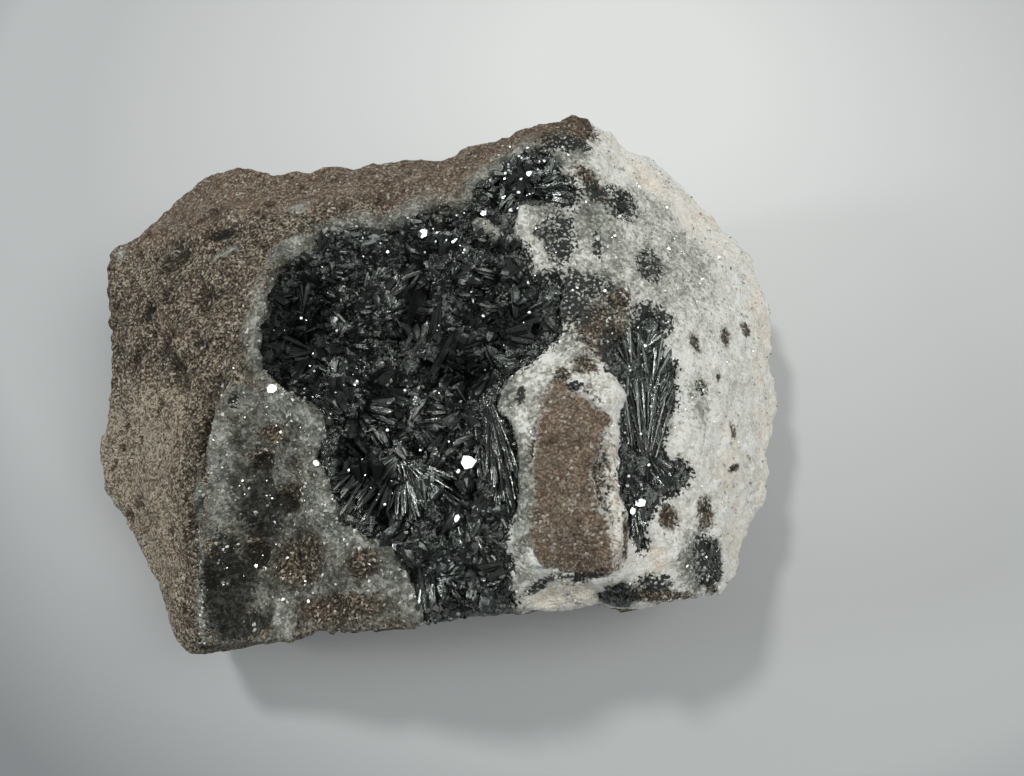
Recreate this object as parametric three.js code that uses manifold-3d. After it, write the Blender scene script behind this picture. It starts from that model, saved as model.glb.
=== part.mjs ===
// Pyrolusite on matrix: a hand specimen of brown volcanic rock with a pale quartz and calcite vein
// over its right end, and black pyrolusite crystals that line a hollow and a narrow cleft on top.
// Millimetres, +Z up, the flat underside on z = 0 and the origin under the middle of the stone.
import * as THREE from "three";
import { mergeVertices } from "three/addons/utils/BufferGeometryUtils.js";
import Module from "manifold-3d";

const wasm = await Module();
wasm.setup();

// Driving dimensions
const WIDTH = 74.2; // along X
const DEPTH = 54.4; // along Y
const GAP = 0.3; // clearance left between minerals that touch
const CLEAR = 40; // a height above everything
const LUMP_STEP = 2.7; // spacing of the small lumps on the upper surface
const LUMP_RISE = 0.45; // how far a lump stands up or a pit goes down
const HOLLOW_DEPTH = 3.4; // of the main hollow, away from its pits
const SHORE_DEPTH = 1.2; // of the main hollow at its edge
const CLEFT_DEPTH = 2.6; // of the narrow cleft on the right
const FLOOR_STEP = 3.4; // facet size of the hollow's rock floor
const CLEFT_STEP = 1.3; // facet size of the cleft and the band in it
const TUFT_STEP = 1.2; // facet size of the tuft at the corner
const COAT_STEP = 2.9; // facet size of the crystals' common base
const BLOCK_STEP = 4; // spacing of the blocky crystals
const BLOCK_SIZE = 1.9;
const CHIP = 1.3; // how far the broken side walls step in and out

// The broken rim of the upper surface, seen from above, as [x, y, z], clockwise from the left end
const RIM = [
  [-37.1, 14.8, 15], [-32.8, 17.6, 16], [-26.4, 22.8, 18], [-22.3, 22.5, 20], [-17.2, 21, 21],
  [-12.1, 21, 21.5], [-6.2, 21.5, 22], [-1.7, 21.7, 22], [1.1, 22.1, 22], [2.5, 23.5, 22],
  [5, 24, 22.5], [7.7, 24.5, 22.5], [9.8, 25.6, 23], [12.4, 25.7, 23.5], [14.1, 26.5, 24.5],
  [15.8, 26.1, 23.5], [18.9, 27.2, 20], [20.7, 26.2, 18], [23.8, 26.9, 16], [27.2, 24.3, 14.5],
  [29.8, 22.1, 13.5], [32.2, 19.5, 12.5], [35, 16.8, 12], [35.7, 13.2, 11.5], [37.1, 10.5, 10.5],
  [36.7, 6, 10], [36.1, 3.7, 10], [36.8, 0.3, 9.5], [35.8, -4.4, 9.5], [34.5, -6.7, 10],
  [34.5, -8.7, 10], [33.9, -11.2, 10], [31.8, -14.2, 11], [30.2, -16.5, 12], [29.4, -20.1, 12.5],
  [27.3, -22, 14.5], [23.1, -22.7, 18], [19.7, -23.6, 19], [17.6, -23.9, 19.5], [15.7, -23.3, 19],
  [12, -23.8, 18.5], [8.2, -24.3, 19], [4.1, -24.8, 21], [2.2, -25.3, 21.5], [0.4, -25.8, 22],
  [-5.5, -26, 20], [-9.7, -26, 18.5], [-12.4, -26.5, 17], [-17.8, -26.7, 14.5], [-22.6, -27.2, 12],
  [-24.6, -25.6, 11], [-25.8, -23.3, 10.5], [-27.8, -19.8, 10.5], [-29.4, -17.2, 10.5],
  [-32.2, -13.2, 11], [-34, -11.4, 11.5], [-34.7, -8.2, 12], [-34.5, -4.7, 13], [-33.9, -2.3, 14],
  [-34.6, 3.5, 15], [-36.3, 10.2, 15],
];

// High and low places of the upper surface inside the rim, as [x, y, z]
const KNOLLS = [
  // the sharp ridge on the left and the broken faces that fall from it to the left
  [-21.4, -26.6, 13.5], [-20.1, -23, 17], [-19.5, -19.8, 19], [-19.2, -14.9, 21], [-19.1, -9.7, 22.5],
  [-17.2, -5.4, 23.5], [-28.4, -7.3, 15.5], [-27.6, -13.2, 15], [-24.3, -17.3, 15.5],
  [-23.3, -22.7, 14.5], [-26.7, -3.8, 17.5],
  // the brown shoulder behind it
  [-29.7, 7, 18.5], [-24.8, 0.3, 20.5], [-25.4, 9.6, 20], [-25, 14.8, 20.5], [-19.2, 14.6, 22.5],
  [-19.3, 3.3, 23], [-21.3, 10.2, 22],
  // the brown bank along the back
  [-12.7, 14.8, 24], [-6.6, 15.9, 24.5], [-0.6, 16.8, 25], [5.4, 19.6, 25], [9.5, 22.1, 25],
  [12.6, 21.7, 25.5],
  // the lip of the hollow
  [-16.6, 4.9, 24.2], [-16.6, -1, 24.2], [-11.8, -6.8, 24.5], [-9.2, -11.2, 24], [-8, -15.4, 23],
  [-5, -18.2, 22.5], [-2.6, -20.5, 22.5], [-0.7, -23.8, 22.3], [-13.4, 11.8, 24],
  [-8.4, 13.2, 24.5], [-15.5, 8.9, 24], [-2.9, 3.3, 25], [1.3, -8.7, 25], [2.3, -17.3, 23.5],
  [2.8, -22.9, 22], [6.5, 10.8, 25.5],
  // the low valley at the front, between the ridge and the hollow
  [-16.8, -9.8, 21.5], [-15.1, -14.3, 19], [-15.5, -19.3, 16.5], [-16.6, -23.6, 14.8],
  [-11.7, -19.5, 17.5], [-9.3, -23.2, 18.5], [-11.5, -13, 21], [-5.5, -22.7, 20.5],
  // the pale vein, falling to the right
  [10.3, 9.6, 25.5], [15.5, 18.3, 25], [16.3, 10.3, 24.5], [19.9, 16.9, 22], [23.7, 15.4, 20.5],
  [26.2, 11.2, 19.5], [29.4, 7.5, 17.5], [32.7, 6.8, 14.5], [15.9, 3.3, 25], [21, 5.3, 23.5],
  [24.9, 0.9, 21.5], [29.6, -0.5, 17.5], [33.3, 0.1, 13.5], [20.6, -6.3, 23.8], [23.9, -8.6, 22],
  [28, -8.3, 18.5], [31.7, -7.8, 14], [20.2, -13.6, 23.2], [23.6, -14.9, 21], [27, -15.8, 17.5],
  [28.6, -16.1, 15], [18.6, -18.8, 22.5], [22.4, -20.1, 20.5], [25.6, -20.4, 17.5],
  // the raised rock fragment and the ledge in front of it
  [8.4, -5.1, 25.5], [11, -5.8, 26], [14.5, -7.7, 26], [17.3, -8.4, 24.2], [15.4, -16.1, 25.5],
  [16.6, -19.6, 24.5], [15.3, -21.3, 24.5], [10.4, -20.8, 24], [8.8, -14.3, 25.5], [7.9, -19, 23.5],
  [6.6, -22.4, 21], [10.5, -22.4, 20], [14.2, -22.3, 20.5], [17, -22.5, 20.5], [20.1, -21.9, 20.3],
];

// Seen from above, [x, y], clockwise: the hollow that the main crystals line
const HOLLOW = [
  [-16, 4.6], [-15.8, 6.1], [-14.7, 7.8], [-13.5, 8.7], [-11.8, 9.6], [-10.2, 11.1], [-8, 11.8],
  [-5.3, 11.6], [-3.1, 11.7], [-2, 13.4], [-0.3, 13.9], [2.4, 13.4], [3.8, 14.4], [4.4, 16.4],
  [5.5, 17.4], [6.7, 17.8], [7.3, 19.4], [8.4, 20.2], [9.7, 20.8], [11.1, 20.6], [11.9, 18.9],
  [13.6, 17.1], [13.9, 15.8], [13.7, 14.1], [11.5, 14.6], [9.6, 14], [8.3, 13.7], [7.7, 11.3],
  [8.7, 9.2], [9.4, 7.4], [10.4, 6.6], [12, 6.4], [12.4, 5], [11.9, 2.7], [12.1, 0.2], [11.1, -1.2],
  [9.9, -2.6], [8.7, -3.5], [7.3, -4.3], [6.4, -5.5], [6.2, -7], [6.5, -8.2], [7.5, -9], [8, -11.2],
  [8.2, -13.3], [8.2, -15.7], [7.1, -18], [6.5, -19.2], [7.5, -20.4], [7, -22.1], [7.8, -23.5],
  [6.4, -25], [4.1, -26], [2.2, -26.5], [0.6, -27], [0.1, -24.3], [-0.3, -22.9], [-1.2, -21.7],
  [-2, -20.6], [-2.7, -19.1], [-4.7, -18.5], [-5.6, -17.6], [-7.2, -17.1], [-7.5, -15.7],
  [-8.1, -14], [-8.8, -12.5], [-9.7, -11.4], [-9, -9.4], [-8.8, -7.9], [-10.1, -7.1], [-11.5, -6.6],
  [-13, -5.1], [-14.8, -3.4], [-16.1, -1.3], [-16.1, 1.3], [-15.3, 2.2],
];

// Deep and shallow parts of the hollow: [x, y, reach, depth]
const HOLLOW_PITS = [
  [-2, 2, 6.5, 2.8], [-12, 4.5, 3.5, 2], [2, -7, 4.5, 2], [8, 3, 4, 1.4], [-3, -13, 4, 1.2],
  [9, 18, 3.5, -0.6], [3, -22.5, 5, -1.8],
];

// The cleft on the right, filled by a band of fine crystals
const CLEFT = [
  [20.7, 3], [21.9, 2.6], [21.8, -1.5], [23.2, -2.1], [22.7, -3.6], [22.7, -5.1], [22.4, -6.7],
  [21.5, -8.1], [21.1, -10.3], [21.5, -11.6], [22.6, -11.1], [23.7, -11.8], [23.6, -12.9],
  [22.7, -14], [20.7, -14.8], [19.8, -16.3], [19, -17.6], [19.1, -18.7], [18.7, -19.6],
  [17.5, -18.2], [16.9, -16.8], [16.9, -15.6], [16.9, -13.2], [16.9, -11.6], [17.2, -10.1],
  [17.7, -7.6], [17.7, -5.9], [17.2, -4.6], [16.1, -3.7], [16.3, -1.4], [18.2, 0],
];

// A fragment of the brown rock that the pale vein grew round
const FRAGMENT = [
  [10.4, -7.9], [11, -5.8], [12, -5.1], [12.7, -6.4], [14.2, -7.4], [15.7, -8.3], [16.2, -8.8],
  [15.3, -10.2], [14.9, -11.3], [14.2, -12.9], [14.4, -14.7], [14.7, -16.5], [15.4, -17.6],
  [15.9, -18.9], [16.5, -19.8], [16.5, -21.2], [15, -21.5], [13.2, -21.4], [11.7, -21],
  [10, -20.6], [9.7, -19.8], [8.8, -19], [9.2, -18], [9.2, -16.1], [9.4, -14.2], [9.4, -12.2],
  [9.9, -10.9],
];
const FRAGMENT_FLOOR = 21.5;

// Two small tufts of crystals: at the front edge, and at the right front corner
const FRONT_TUFT = [[15.4, -22.6], [16.6, -22.1], [17.9, -22.3], [18, -24.6], [16.3, -24.9]];
const FRONT_TUFT_FLOOR = 16.8;
const CORNER_TUFT = [[24.9, -18.2], [26.3, -17.2], [27, -19], [26.9, -21], [25.7, -21.5], [25.2, -20]];
const CORNER_TUFT_DEPTH = 1.7;

// Where the vein starts, seen from above, from the back to the front, and how it dips to the right
const VEIN_EDGE = [
  [17, 30], [16.3, 26.5], [14.6, 21.5], [12.4, 18.4], [9.6, 15.4], [6.6, 12], [8, 6], [9, -1],
  [5.4, -5], [6.2, -10.7], [6, -17.4], [5.2, -20.6], [5, -30],
];
const VEIN_FOOT = 18.5; // height of the contact straight below the middle of that edge
const VEIN_MIDDLE = 10;
const VEIN_DIP = 0.5; // fall of the contact for each millimetre to the right

// How the side walls lean in below the rim: [compass degrees, inset half way down, inset at the foot]
const WALLS = [
  [-180, 0.6, 4.5], [-135, 1.8, 5.5], [-90, 3.4, 9], [-50, 2.6, 8], [0, 0.3, 4.5], [45, 0.2, 3.5],
  [90, 0.8, 4.5], [140, 1.6, 5.5], [180, 0.6, 4.5],
];
const WALL_LEVELS = [0, 0.2, 0.42, 0.66, 0.86, 1];

// Sprays of the larger crystals: root [x, y], heading and spread in degrees, length, width, count
const SPRAYS = [
  { root: [-4.4, -9.6], heading: -95, spread: 120, length: 6.4, width: 1.5, count: 9 },
  { root: [-2.5, -11], heading: -52, spread: 26, length: 9, width: 1.4, count: 5 },
  { root: [2.4, -6.2], heading: -62, spread: 44, length: 8, width: 1.3, count: 7 },
  { root: [2.2, -15.4], heading: -52, spread: 50, length: 6, width: 1.5, count: 6 },
  { root: [-0.5, -16.5], heading: -88, spread: 46, length: 5.5, width: 1.6, count: 5 },
  { root: [4.6, -19], heading: -118, spread: 60, length: 5, width: 1.4, count: 5 },
  { root: [-9, -4.4], heading: -60, spread: 90, length: 4.5, width: 1.5, count: 6 },
  { root: [-1.4, 5.4], heading: -88, spread: 22, length: 7.5, width: 2, count: 4 },
  { root: [-6.5, 1.6], heading: 30, spread: 60, length: 4.5, width: 1.3, count: 5 },
  { root: [8.6, 1], heading: 52, spread: 70, length: 4.6, width: 1.6, count: 6 },
  { root: [5.4, 14.6], heading: 108, spread: 50, length: 3.6, width: 1.7, count: 4 },
  { root: [9.6, 16.6], heading: 8, spread: 90, length: 3.8, width: 1.3, count: 5 },
  { root: [1.6, 6.2], heading: 60, spread: 150, length: 3.6, width: 1.9, count: 5 },
  { root: [-12.6, 3], heading: 150, spread: 160, length: 3.2, width: 1.3, count: 5 },
];

// Looks of the three minerals; each mesh gets a material of its own
const BROWN_ROCK = { color: 0x6f6355, roughness: 0.92, metalness: 0 };
const PALE_SPAR = { color: 0xc9c8bb, roughness: 0.6, metalness: 0 };
const BLACK_CRYSTAL = { color: 0x2a2e2d, roughness: 0.28, metalness: 0.85 };

// A closed three.js geometry as a solid that can be joined and cut
function solidOf(geometry) {
  const bare = geometry.clone();
  bare.deleteAttribute("normal");
  bare.deleteAttribute("uv");
  const merged = mergeVertices(bare, 1e-4);
  return new wasm.Manifold(
    new wasm.Mesh({
      numProp: 3,
      vertProperties: Float32Array.from(merged.attributes.position.array),
      triVerts: Uint32Array.from(merged.index.array),
    }),
  );
}

// The largest connected piece of a solid, as a named mesh
function meshOf(name, solid, look) {
  const pieces = solid.decompose().sort((a, b) => b.volume() - a.volume());
  const mesh = pieces[0].getMesh();
  const geometry = new THREE.BufferGeometry();
  geometry.setAttribute("position", new THREE.BufferAttribute(Float32Array.from(mesh.vertProperties), 3));
  geometry.setIndex(new THREE.BufferAttribute(Uint32Array.from(mesh.triVerts), 1));
  geometry.computeVertexNormals();
  const made = new THREE.Mesh(geometry, new THREE.MeshStandardMaterial(look));
  made.name = name;
  return made;
}

// A repeatable scatter value from -1 to 1 for a pair of numbers
function scatter(a, b) {
  const s = Math.sin(a * 127.1 + b * 311.7) * 43758.5453;
  return 2 * (s - Math.floor(s)) - 1;
}

// Distance from a point to an outline, positive inside
function depthInside(outline, x, y) {
  let inside = false;
  let nearest = Infinity;
  outline.forEach(([ax, ay], i) => {
    const [bx, by] = outline[(i + 1) % outline.length];
    if (ay > y !== by > y && x < ((bx - ax) * (y - ay)) / (by - ay) + ax) inside = !inside;
    const t = ((x - ax) * (bx - ax) + (y - ay) * (by - ay)) / ((bx - ax) ** 2 + (by - ay) ** 2);
    const s = Math.min(1, Math.max(0, t));
    nearest = Math.min(nearest, Math.hypot(x - ax - s * (bx - ax), y - ay - s * (by - ay)));
  });
  return inside ? nearest : -nearest;
}

// Delaunay triangles over points seen from above, as triples of indices, anticlockwise
function triangulate(points) {
  const far = 1000;
  const all = [...points, [-far, -far], [far, -far], [0, far]];
  const n = points.length;
  let triangles = [circled(all, n, n + 1, n + 2)];
  points.forEach(([x, y], p) => {
    const hit = triangles.filter((t) => (x - t.x) ** 2 + (y - t.y) ** 2 < t.r2);
    const edges = hit.flatMap(({ corners: [a, b, c] }) => [[a, b], [b, c], [c, a]]);
    const outer = edges.filter(([a, b]) => !edges.some(([c, d]) => a === d && b === c));
    triangles = triangles.filter((t) => !hit.includes(t));
    outer.forEach(([a, b]) => triangles.push(circled(all, a, b, p)));
  });
  return triangles.map((t) => t.corners).filter((corners) => corners.every((i) => i < n));
}

// A triangle with the centre and squared radius of the circle through its corners
function circled(points, a, b, c) {
  const [ax, ay] = points[a];
  const [bx, by] = points[b];
  const [cx, cy] = points[c];
  const d = 2 * (ax * (by - cy) + bx * (cy - ay) + cx * (ay - by));
  const [a2, b2, c2] = [ax * ax + ay * ay, bx * bx + by * by, cx * cx + cy * cy];
  const x = (a2 * (by - cy) + b2 * (cy - ay) + c2 * (ay - by)) / d;
  const y = (a2 * (cx - bx) + b2 * (ax - cx) + c2 * (bx - ax)) / d;
  return { corners: [a, b, c], x, y, r2: (x - ax) ** 2 + (y - ay) ** 2 };
}

// Triangles of points within the rim
function triangulateWithin(points, outline) {
  return triangulate(points).filter((t) => {
    const x = (points[t[0]][0] + points[t[1]][0] + points[t[2]][0]) / 3;
    const y = (points[t[0]][1] + points[t[1]][1] + points[t[2]][1]) / 3;
    return depthInside(outline, x, y) > 0;
  });
}

// The upper surface: height over each place, read from the rim and knolls
const surveyed = [...RIM, ...KNOLLS];
const surveyedTriangles = triangulateWithin(surveyed, RIM);
function surfaceHeight(x, y) {
  for (const [a, b, c] of surveyedTriangles) {
    const [p, q, r] = [surveyed[a], surveyed[b], surveyed[c]];
    const d = (q[1] - r[1]) * (p[0] - r[0]) + (r[0] - q[0]) * (p[1] - r[1]);
    const u = ((q[1] - r[1]) * (x - r[0]) + (r[0] - q[0]) * (y - r[1])) / d;
    const v = ((r[1] - p[1]) * (x - r[0]) + (p[0] - r[0]) * (y - r[1])) / d;
    if (u >= 0 && v >= 0 && u + v <= 1) return u * p[2] + v * q[2] + (1 - u - v) * r[2];
  }
  return nearestHeight(x, y);
}

function nearestHeight(x, y) {
  const away = ([px, py]) => (px - x) ** 2 + (py - y) ** 2;
  return surveyed.reduce((best, p) => (away(p) < away(best) ? p : best))[2];
}

// The upper surface with its small lumps and pits between the surveyed places
function lumpySurface() {
  const points = [...surveyed];
  for (let x = -WIDTH / 2; x < WIDTH / 2; x += LUMP_STEP) {
    for (let y = -DEPTH / 2; y < DEPTH / 2; y += LUMP_STEP) {
      const px = x + 0.35 * LUMP_STEP * scatter(x, y);
      const py = y + 0.35 * LUMP_STEP * scatter(y + 9, x);
      const crowded = points.some(([a, b]) => Math.hypot(a - px, b - py) < 0.55 * LUMP_STEP);
      if (crowded || depthInside(RIM, px, py) < 0.6 * LUMP_STEP) continue;
      points.push([px, py, surfaceHeight(px, py) + LUMP_RISE * scatter(px, py)]);
    }
  }
  return points;
}

// Wall insets at a compass angle, between the two listed angles that it lies between
function wallAt(degrees) {
  const next = WALLS.findIndex(([angle]) => angle >= degrees);
  const [low, high] = [WALLS[Math.max(0, next - 1)], WALLS[Math.max(1, next)]];
  const t = (degrees - low[0]) / (high[0] - low[0]);
  return [low[1] + t * (high[1] - low[1]), low[2] + t * (high[2] - low[2])];
}

// The whole stone before the minerals are parted: upper surface, leaning broken walls, flat underside
function wholeStone() {
  const top = lumpySurface();
  const n = RIM.length;
  const positions = top.flat();
  const faces = triangulateWithin(top, RIM);
  WALL_LEVELS.slice(1).forEach((level, k) => {
    RIM.forEach(([x, y, z], i) => {
      const [mid, foot] = wallAt(THREE.MathUtils.radToDeg(Math.atan2(y, x)));
      const lean = level < 0.5 ? mid * 2 * level : mid + (foot - mid) * (2 * level - 1) ** 1.3;
      const chip = CHIP * scatter(Math.floor((i + k) / 3), k);
      const pull = 1 - Math.max(0.05, lean + chip) / Math.hypot(x, y);
      positions.push(x * pull, y * pull, z * (1 - level));
    });
  });
  const ring = (k, i) => (k === 0 ? i % n : top.length + (k - 1) * n + (i % n));
  for (let k = 0; k < WALL_LEVELS.length - 1; k++) {
    for (let i = 0; i < n; i++) {
      faces.push([ring(k, i), ring(k, i + 1), ring(k + 1, i)]);
      faces.push([ring(k, i + 1), ring(k + 1, i + 1), ring(k + 1, i)]);
    }
  }
  const last = WALL_LEVELS.length - 1;
  const foot = RIM.map((_, i) => {
    const at = 3 * ring(last, i);
    return new THREE.Vector2(positions[at], positions[at + 1]);
  });
  THREE.ShapeUtils.triangulateShape(foot, []).forEach((t) => {
    const [a, b, c] = t.map((i) => foot[i]);
    const turn = (b.x - a.x) * (c.y - a.y) - (b.y - a.y) * (c.x - a.x);
    const down = turn < 0 ? t : [t[0], t[2], t[1]];
    faces.push(down.map((i) => ring(last, i)));
  });
  const geometry = new THREE.BufferGeometry();
  geometry.setAttribute("position", new THREE.Float32BufferAttribute(positions, 3));
  geometry.setIndex(faces.flat());
  return solidOf(geometry);
}

// An outline seen from above, moved outwards by a distance
function grown(outline, distance) {
  const n = outline.length;
  const shape = new THREE.Shape(outline.map(([x, y]) => new THREE.Vector2(x, y)));
  const turn = THREE.ShapeUtils.area(shape.getPoints()) > 0 ? 1 : -1;
  return outline.map(([x, y], i) => {
    const [ax, ay] = outline[(i + n - 1) % n];
    const [bx, by] = outline[(i + 1) % n];
    const along = new THREE.Vector2(bx - ax, by - ay).normalize();
    return [x + turn * along.y * distance, y - turn * along.x * distance];
  });
}

// A straight-sided block over an outline, from one height to another
function prism(outline, low, high) {
  const shape = new THREE.Shape(outline.map(([x, y]) => new THREE.Vector2(x, y)));
  const block = new THREE.ExtrudeGeometry(shape, { depth: high - low, bevelEnabled: false });
  return solidOf(block.translate(0, 0, low));
}

// A slab over an outline's bounds, between two surfaces given as heights over x and y
function slab(outline, step, under, over) {
  const xs = outline.map(([x]) => x);
  const ys = outline.map(([, y]) => y);
  const [i0, i1] = [Math.floor((Math.min(...xs) - 1) / step), Math.ceil((Math.max(...xs) + 1) / step)];
  const [j0, j1] = [Math.floor((Math.min(...ys) - 1) / step), Math.ceil((Math.max(...ys) + 1) / step)];
  const box = new THREE.BoxGeometry((i1 - i0) * step, (j1 - j0) * step, 1, i1 - i0, j1 - j0, 1);
  box.translate(((i0 + i1) / 2) * step, ((j0 + j1) / 2) * step, 0);
  const place = box.attributes.position;
  for (let i = 0; i < place.count; i++) {
    const height = place.getZ(i) > 0 ? over : under;
    place.setZ(i, height(place.getX(i), place.getY(i)));
  }
  return solidOf(box);
}

// The floor of the hollow
function hollowFloor(x, y) {
  const inside = depthInside(HOLLOW, x, y);
  const shore = THREE.MathUtils.smoothstep(inside, -0.5, 3);
  const pits = HOLLOW_PITS.reduce((sum, [px, py, reach, depth]) => {
    return sum + depth * Math.exp(-((x - px) ** 2 + (y - py) ** 2) / reach ** 2);
  }, HOLLOW_DEPTH);
  return surfaceHeight(x, y) - SHORE_DEPTH - (pits - SHORE_DEPTH) * shore;
}

// The common base of the crystals in the hollow: level with the stone at its edge, lower inside
function coatTop(x, y) {
  const shore = THREE.MathUtils.smoothstep(depthInside(HOLLOW, x, y), 0, 2.5);
  return hollowFloor(x, y) + SHORE_DEPTH - 0.3 + 0.4 * shore + 0.7 * scatter(x, y);
}

// One bladed crystal: four flat sides that widen from the root, and a low pyramid at the free end
function blade(root, heading, rise, length, width) {
  const start = 0.12 * length;
  const profile = [[0, start], [0.25 * width, start], [0.5 * width, 0.86 * length], [0, length]];
  const form = new THREE.LatheGeometry(profile.map(([x, y]) => new THREE.Vector2(x, y)), 4);
  form.scale(1, 1, 0.6);
  form.applyMatrix4(new THREE.Matrix4().makeRotationX(THREE.MathUtils.degToRad(rise)));
  form.applyMatrix4(new THREE.Matrix4().makeRotationZ(THREE.MathUtils.degToRad(heading - 90)));
  return solidOf(form.translate(...root));
}

// The blades of one spray, fanned round its heading, low at the root and rising outwards
function spray({ root: [x, y], heading, spread, length, width, count }) {
  const base = hollowFloor(x, y) + SHORE_DEPTH + 0.4;
  return Array.from({ length: count }, (_, i) => {
    const share = count > 1 ? i / (count - 1) - 0.5 : 0;
    const vary = scatter(i + x, y);
    const root = [x + 0.3 * vary, y - 0.3 * vary, base + 0.3 * scatter(i, x)];
    const reach = length * (1 - 0.18 * Math.abs(vary));
    return blade(root, heading + spread * share, 9 + 7 * vary, reach, width * (1 + 0.2 * vary));
  });
}

// Blocky crystals, turned every way, strewn over the hollow between the sprays
function blocks() {
  const made = [];
  for (let x = -WIDTH / 2; x < WIDTH / 2; x += BLOCK_STEP) {
    for (let y = -DEPTH / 2; y < DEPTH / 2; y += BLOCK_STEP) {
      const px = x + 0.4 * BLOCK_STEP * scatter(x, y);
      const py = y + 0.4 * BLOCK_STEP * scatter(y, x);
      const taken = SPRAYS.some(({ root: [a, b], length }) => Math.hypot(a - px, b - py) < 0.5 * length);
      if (taken || depthInside(HOLLOW, px, py) < 0.8) continue;
      const size = BLOCK_SIZE * (1 + 0.35 * scatter(px, py));
      const form = new THREE.BoxGeometry(1.3 * size, 0.8 * size, size);
      const turn = new THREE.Euler(scatter(px, 1), scatter(py, 2), 3 * scatter(px, 3));
      form.applyMatrix4(new THREE.Matrix4().makeRotationFromEuler(turn));
      made.push(solidOf(form.translate(px, py, coatTop(px, py))));
    }
  }
  return made;
}

// The crust of crystals in the hollow, all grown together, held within the stone's outline
function hollowCrust() {
  const resting = slab(HOLLOW, FLOOR_STEP, (x, y) => hollowFloor(x, y) + GAP, () => CLEAR);
  const coat = slab(HOLLOW, COAT_STEP, () => 10, coatTop);
  const crystals = wasm.Manifold.union([coat, ...SPRAYS.flatMap(spray), ...blocks()]);
  return crystals.intersect(resting).intersect(prism(HOLLOW, 0, CLEAR)).intersect(prism(RIM, 0, CLEAR));
}

// The band in the cleft: a bumpy fill just under the surface
function cleftFloor(x, y) {
  return surfaceHeight(x, y) - CLEFT_DEPTH;
}

function cleftBand() {
  const low = (x, y) => cleftFloor(x, y) + GAP;
  const high = (x, y) => surfaceHeight(x, y) - 0.5 + 0.35 * scatter(x, y);
  return slab(CLEFT, CLEFT_STEP, low, high).intersect(prism(CLEFT, 0, CLEAR));
}

// The small tuft at the corner, level with the surface round it
function cornerTuftFloor(x, y) {
  return surfaceHeight(x, y) - CORNER_TUFT_DEPTH;
}

function cornerTuft() {
  const low = (x, y) => cornerTuftFloor(x, y) + GAP;
  const high = (x, y) => surfaceHeight(x, y) + 0.3 * scatter(x, y);
  return slab(CORNER_TUFT, TUFT_STEP, low, high).intersect(prism(CORNER_TUFT, 0, CLEAR));
}

// What is cut from the stone for a filling, with the clearance round it
function roomFor(outline, step, floor) {
  const block = prism(grown(outline, GAP), 0, CLEAR);
  return block.intersect(slab(grown(outline, GAP), step, floor, () => CLEAR + 1));
}

// The vein's side of the stone, seen from above its dipping contact with the brown rock
function veinRegion(grow) {
  const edge = VEIN_EDGE.map(([x, y]) => [x - grow, y]);
  const outline = [...edge, [WIDTH, -DEPTH], [WIDTH, DEPTH]];
  const contact = (x) => VEIN_FOOT - VEIN_DIP * (x - VEIN_MIDDLE) - grow;
  const dipping = new THREE.BoxGeometry(4 * WIDTH, 4 * DEPTH, 1);
  const place = dipping.attributes.position;
  for (let i = 0; i < place.count; i++) place.setZ(i, place.getZ(i) > 0 ? 90 : contact(place.getX(i)));
  return prism(outline, -5, 45).intersect(solidOf(dipping));
}

// The minerals parted from the whole stone
const stone = wholeStone();
const hollow = roomFor(HOLLOW, FLOOR_STEP, hollowFloor);
const cleft = roomFor(CLEFT, CLEFT_STEP, cleftFloor);
const fragmentRoom = prism(grown(FRAGMENT, GAP), FRAGMENT_FLOOR - GAP, CLEAR);
const frontTuftRoom = prism(grown(FRONT_TUFT, GAP), FRONT_TUFT_FLOOR - GAP, CLEAR);
const cornerTuftRoom = roomFor(CORNER_TUFT, TUFT_STEP, cornerTuftFloor);

const hostRock = stone.subtract(veinRegion(GAP)).subtract(hollow);
const vein = stone
  .intersect(veinRegion(0))
  .subtract(hollow)
  .subtract(cleft)
  .subtract(fragmentRoom)
  .subtract(frontTuftRoom)
  .subtract(cornerTuftRoom);
const fragment = stone.intersect(prism(FRAGMENT, FRAGMENT_FLOOR, CLEAR));
const frontTuft = stone.intersect(prism(FRONT_TUFT, FRONT_TUFT_FLOOR, CLEAR));

const specimen = new THREE.Group();
specimen.add(meshOf("host_rock", hostRock, BROWN_ROCK));
specimen.add(meshOf("pale_vein", vein, PALE_SPAR));
specimen.add(meshOf("rock_fragment", fragment, BROWN_ROCK));
specimen.add(meshOf("pyrolusite_crust", hollowCrust(), BLACK_CRYSTAL));
specimen.add(meshOf("pyrolusite_band", cleftBand(), BLACK_CRYSTAL));
specimen.add(meshOf("pyrolusite_front_tuft", frontTuft, BLACK_CRYSTAL));
specimen.add(meshOf("pyrolusite_corner_tuft", cornerTuft(), BLACK_CRYSTAL));

export default specimen;
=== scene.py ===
import itertools
import math

import bmesh
import bpy
import numpy as np
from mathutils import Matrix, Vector
from mathutils.bvhtree import BVHTree


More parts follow.
